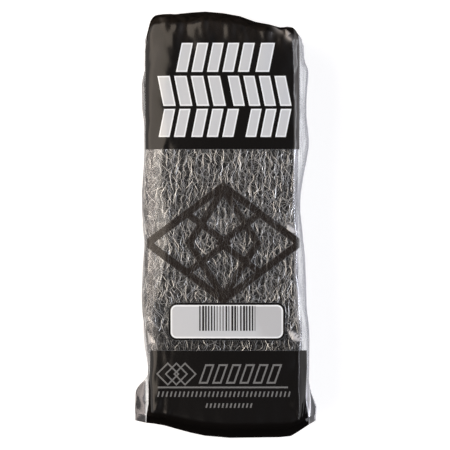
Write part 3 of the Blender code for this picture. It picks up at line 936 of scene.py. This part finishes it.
def printed_film():
    """Clear film that mirrors more at a glancing angle, printed in near-black, silver and white.

    The print is worked out in millimetres from Object coordinates. Alpha is how much the film
    covers: little where clear, all of it where inked. The colour also paints light and shade:
    highlights along folds, sheen on the right edge and near the top end, reflection on the ink
    turned down the right side, a lighter right ear, and shade in the veil along the left edge.
    covers: little where clear, all of it where inked.
    """
    made = bpy.data.materials.new("printed_film")
    made.use_nodes = True
    tree = made.node_tree
    link = tree.links.new
    shader = tree.nodes["Principled BSDF"]
    in_mm = tree.nodes.new("ShaderNodeMapping")
    in_mm.inputs["Scale"].default_value = (1 / MM, 1 / MM, 1 / MM)
    split = tree.nodes.new("ShaderNodeSeparateXYZ")
    link(tree.nodes.new("ShaderNodeTexCoord").outputs["Object"], in_mm.inputs["Vector"])
    place = in_mm.outputs["Vector"]
    link(place, split.inputs["Vector"])
    x, y, z = split.outputs
    side, end_distance, fold_highlight = (attribute(tree, name) for name in ("print_side", "end_distance", "fold_highlight"))
    front = maths(tree, "GREATER_THAN", z, full_half / MM + 0.02)
    on_right = maths(tree, "GREATER_THAN", x, 0.0)
    weight = tree.nodes.new("ShaderNodeLayerWeight")
    weight.inputs["Blend"].default_value = 0.5
    facing = weight.outputs["Facing"]

    shapes = printed_shapes(tree, x, y, side)
    solid_ink = maths(tree, "MULTIPLY", shapes["solid ink"], front)
    motif = maths(tree, "MULTIPLY", shapes["motif"], front)
    ink = maths(tree, "MAXIMUM", motif, solid_ink)
    streaks = noise(tree, place, (0.8, 0.05, 0.3), detail=2)
    blotches = noise(tree, place, (0.11, 0.06, 0.11), detail=2, distortion=1.2)
    in_ear, bunched, veiled_and_shaded = haze(tree, x, y, z, side, front, streaks)
    grazing = maths(tree, "POWER", facing, 1.6)
    # Milky white: partly painted sheen where the film bunches, and painted highlight along folds.
    milk_sheen_and_fold_highlight = maths(tree, "MAXIMUM", bunched, maths(tree, "MULTIPLY", fold_highlight, FOLD_HIGHLIGHT_COVER))
    dull = joined(tree, "MAXIMUM", grazing, maths(tree, "MULTIPLY", in_ear, 0.45), veiled_and_shaded)
    # Brown blotches on the ink near the top end: painted sheen of its gathered folds.
    top_sheen_blotches = rising(tree, blotches, 0.3077, 0.6923)
    top_sheen_blotches = joined(tree, "MULTIPLY", top_sheen_blotches, rising(tree, y, 132.5, 157.5), solid_ink)
    # Ink turned down the right side, lightened: painted reflection of the bright room at a glancing angle.
    turned = joined(
        tree, "MULTIPLY", rising(tree, x, 53.6, 54.6), ink, maths(tree, "GREATER_THAN", y, 0.0), streaks,
    )
    # The same painted highlight on inked folds.
    ink_fold_highlight = joined(tree, "MULTIPLY", fold_highlight, solid_ink, 0.85)
    shade = rising(tree, maths(tree, "MULTIPLY_ADD", y, 0.4, x), -11.667, -3.333)
    ear_line = maths(tree, "ABSOLUTE", maths(tree, "SUBTRACT", side, EAR_LINE_PLACE))
    ear_line = within(tree, maths(tree, "SUBTRACT", ear_line, EAR_LINE_HALF))
    ear_line = joined(tree, "MULTIPLY", ear_line, rising(tree, y, -124.0, -134.0), on_right, front)

    colour = CLEAR_FILM
    for share, paint in (
        (dull, (0.27, 0.27, 0.31)),
        # Grey veil along the left edge, partly painted shade.
        (veiled_and_shaded, (0.11, 0.112, 0.12)),
        (in_ear, (0.125, 0.125, 0.14)),
        # The right ear is painted lighter than the left, though both are the same film: painted light.
        (maths(tree, "MULTIPLY", in_ear, on_right), (0.42, 0.42, 0.43)),
        # Milky white on the right edge, partly painted sheen.
        (milk_sheen_and_fold_highlight, (0.40, 0.40, 0.42)),
        # White along folds: painted highlight.
        (fold_highlight, (0.78, 0.79, 0.82)),
    ):
        colour = blend(tree, colour, paint, share)
    for share, paint in (
        (motif, (0.020, 0.016, 0.014)),
        (solid_ink, (0.0050, 0.0044, 0.0042)),
        # Painted sheen blotches near the top end.
        (top_sheen_blotches, (0.018, 0.0145, 0.012)),
        # Painted reflection on the ink turned down the right side.
        (turned, (0.15, 0.145, 0.14)),
        # Painted highlight on inked folds.
        (ink_fold_highlight, (0.46, 0.44, 0.42)),
        (shapes["silver"], (0.86, 0.92, 0.98)),
        (shapes["silver field"], (0.56, 0.60, 0.65)),
        (shapes["low marks"], (0.17, 0.175, 0.18)),
        (shapes["label"], (0.86, 0.91, 0.96)),
        (shapes["label field"], (0.555, 0.590, 0.635)),
        (maths(tree, "MULTIPLY", shapes["label field"], shade), (0.49, 0.515, 0.55)),
        (shapes["code"], (0.02, 0.02, 0.02)),
        (ear_line, (0.85, 0.86, 0.90)),
    ):
        colour = blend(tree, colour, paint, maths(tree, "MULTIPLY", share, front))
    link(colour, shader.inputs["Base Color"])

    cover = joined(
        tree, "MAXIMUM", maths(tree, "MULTIPLY_ADD", grazing, GRAZING_COVER, CLEAR_COVER), milk_sheen_and_fold_highlight,
        maths(tree, "MULTIPLY", veiled_and_shaded, VEIL_AND_SHADE_COVER), maths(tree, "MULTIPLY", in_ear, EAR_COVER),
        maths(tree, "MULTIPLY", motif, MOTIF_COVER), solid_ink, ear_line,
    )
    link(cover, shader.inputs["Alpha"])
    mirror = maths(tree, "MULTIPLY_ADD", maths(tree, "MAXIMUM", dull, milk_sheen_and_fold_highlight), -0.97, 1.0)
    link(maths(tree, "MULTIPLY", mirror, maths(tree, "SUBTRACT", 1.0, ink)), shader.inputs["Metallic"])
    link(maths(tree, "MULTIPLY_ADD", ink, INK_ROUGHNESS, FILM_ROUGHNESS), shader.inputs["Roughness"])
    inked_end = maths(tree, "MULTIPLY", rising(tree, end_distance, 10.0, 8.0), ink)
    gloss = maths(tree, "MULTIPLY_ADD", inked_end, -FILM_GLOSS, FILM_GLOSS)
    gloss = maths(tree, "MULTIPLY", gloss, rising(tree, facing, 0.7143, 0.0))
    link(gloss, shader.inputs["Specular IOR Level"])
    bump = tree.nodes.new("ShaderNodeBump")
    bump.inputs["Strength"].default_value = 0.25
    bump.inputs["Distance"].default_value = 0.4 * MM
    link(noise(tree, place, (0.22, 0.22, 0.22), detail=3), bump.inputs["Height"])
    link(bump.outputs["Normal"], shader.inputs["Normal"])
    return made


film_points, film_rise, film_fold_highlight = film_form()
film_rows, film_columns = film_points.shape[:2]
film_faces = np.concatenate([
    grid_faces(film_rows, film_columns),
    cap_faces(film_columns, 0, turned=True),
    cap_faces(film_columns, (film_rows - 1) * film_columns, turned=False),
])
film = solid("printed_film_sleeve", film_points.reshape(-1, 3), film_faces, printed_film())
film_x, film_y = film_points[..., 0].ravel(), film_points[..., 1].ravel()
to_side = np.maximum(eased(PRINT_LEFT_MM, film_y) - film_x, film_x - eased(PRINT_RIGHT_MM, film_y)) / MM
stations = sleeve_stations()[0]
down_wall = PRINT_RISE * np.clip((stations - bottom_end) / (12 * MM) - 1.5, 0, 1)[:, None] - film_rise
to_side = np.maximum(to_side, down_wall.ravel() * full_half / MM)
to_end = np.minimum(top_end - stations, stations - bottom_end - BOTTOM_FIN + TOP_FIN) / MM
for name, values in (
    ("print_side", to_side),
    ("end_distance", np.repeat(to_end, film_columns)),
    ("fold_highlight", film_fold_highlight.ravel()),
):
    film.data.attributes.new(name, "FLOAT", "POINT").data.foreach_set("value", values.astype(np.float32))
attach(film, "root")
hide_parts("film_sleeve")


# The studio: a pale floor, a tall warm softbox on the left that rolls off the film's left edge,
# with a low one inside it, a bright strip on the right for glints in the folds, pale walls on both
# sides, and a long lens above.

FLOOR_SIZE = 8.0
FLOOR_DROP = 0.4 * MM
FLOOR_GREY = 0.50
FLOOR_GLOW = 0.71
LENS_HEIGHT = 3.0
LENS_SHIFT = (-0.4 * MM, -0.2 * MM)
FRAME_WIDTH = 0.35775
FRAME_PLANE = 0.035
SENSOR = 36.0
LAMPS = (
    ("left_softbox", (-0.675, 0.05, 0.55), (1.03, 1.4), 10.4, (1.0, 0.86, 0.70)),
    ("left_edge_box", (-0.80, 0.05, 0.32), (0.30, 1.4), 1.1, (1.0, 0.84, 0.62)),
    ("right_strip", (0.9, -0.1, 0.5), (0.12, 1.2), 6.5, (0.92, 0.94, 1.0)),
)


def white_floor():
    """A pale matt floor, lifted to white for the camera and for reflections, so its shadow stays."""
    made = bpy.data.materials.new("white_floor")
    made.use_nodes = True
    tree = made.node_tree
    shader = tree.nodes["Principled BSDF"]
    shader.inputs["Base Color"].default_value = (FLOOR_GREY, FLOOR_GREY, FLOOR_GREY, 1)
    shader.inputs["Roughness"].default_value = 0.9
    path = tree.nodes.new("ShaderNodeLightPath")
    rays = (path.outputs[f"Is {kind} Ray"] for kind in ("Camera", "Glossy", "Transmission"))
    glow = maths(tree, "MULTIPLY", joined(tree, "MAXIMUM", *rays), FLOOR_GLOW)
    shader.inputs["Emission Color"].default_value = (1, 1, 1, 1)
    tree.links.new(glow, shader.inputs["Emission Strength"])
    return made


def softbox(name, place, size, power, colour):
    """A rectangular lamp that faces the middle of the pack."""
    lamp = bpy.data.lights.new(name, "AREA")
    lamp.shape = "RECTANGLE"
    lamp.size, lamp.size_y = size
    lamp.energy = power
    lamp.color = colour
    made = bpy.data.objects.new(name, lamp)
    made.location = place
    aim = np.array(place) - (0, 0, full_half)
    made.rotation_euler = (0, np.arctan2(aim[0], aim[2]), 0)
    scene.collection.objects.link(made)


corner_x = np.array([-1, 1, 1, -1]) * FLOOR_SIZE / 2
corner_y = np.array([-1, -1, 1, 1]) * FLOOR_SIZE / 2
floor_points = np.stack([corner_x, corner_y, np.full(4, -FLOOR_DROP)], axis=-1)
floor = solid("floor", floor_points, np.arange(4)[None, :], white_floor())
for name, place, size, power, colour in LAMPS:
    softbox(name, place, size, power, colour)

world = bpy.data.worlds.new("studio")
world.use_nodes = True
scene.world = world
sky = world.node_tree
parts = sky.nodes.new("ShaderNodeSeparateXYZ")
sky.links.new(sky.nodes.new("ShaderNodeTexCoord").outputs["Generated"], parts.inputs["Vector"])
walls = ramp(
    sky, maths(sky, "ABSOLUTE", parts.outputs["X"]),
    (0.0, (0.05, 0.05, 0.052)), (1.0, (0.92, 0.85, 0.92)), (0.5, (0.26, 0.26, 0.28)),
)
sky.links.new(walls, sky.nodes["Background"].inputs["Color"])

camera = bpy.data.objects.new("camera", bpy.data.cameras.new("camera"))
camera.data.sensor_width = SENSOR
camera.data.lens = SENSOR * (LENS_HEIGHT - FRAME_PLANE) / FRAME_WIDTH
camera.location = (*LENS_SHIFT, LENS_HEIGHT)
scene.collection.objects.link(camera)
scene.camera = camera
